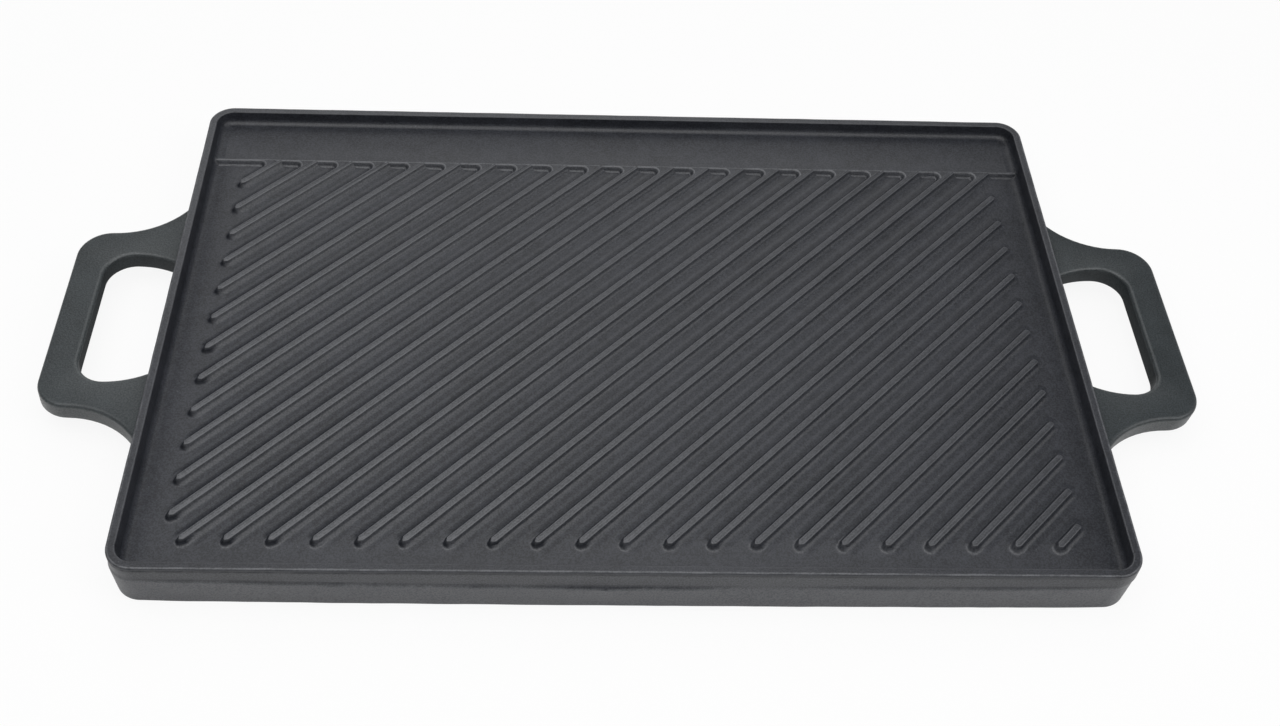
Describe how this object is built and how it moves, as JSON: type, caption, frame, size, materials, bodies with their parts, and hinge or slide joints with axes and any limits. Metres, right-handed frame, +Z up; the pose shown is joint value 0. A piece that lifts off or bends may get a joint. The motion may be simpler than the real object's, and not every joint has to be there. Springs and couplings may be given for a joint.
{
  "type": "camp griddle plate",
  "caption": "Rectangular cast iron griddle plate with a raised rim, diagonal sear ribs, a smooth rear shelf and a loop handle at each end, for cooking over a camp stove or fire.",
  "frame": {"origin": "under the middle of the plate, on the plane that its lower rim stands on", "axes": "+X to the right-hand handle, +Y to the back with the smooth shelf, +Z up out of the ribbed cooking face"},
  "size_m": [0.486, 0.261, 0.023],
  "materials": {
    "plate_iron": "matte seasoned sand casting, fine grain",
    "rib_iron": "matte seasoned sand casting, edges a little brighter",
    "handle_iron": "matte seasoned sand casting, fine grain"
  },
  "bodies": {
    "root": {"griddle_floor": "plate_iron", "front_wall": "plate_iron", "back_wall": "plate_iron", "left_wall": "plate_iron", "right_wall": "plate_iron", "rim_corners": "plate_iron", "rear_shelf": "plate_iron", "sear_ribs": "rib_iron", "left_arms": "handle_iron", "left_bends": "handle_iron", "left_grip": "handle_iron", "right_arms": "handle_iron", "right_bends": "handle_iron", "right_grip": "handle_iron"}
  },
  "joints": []
}
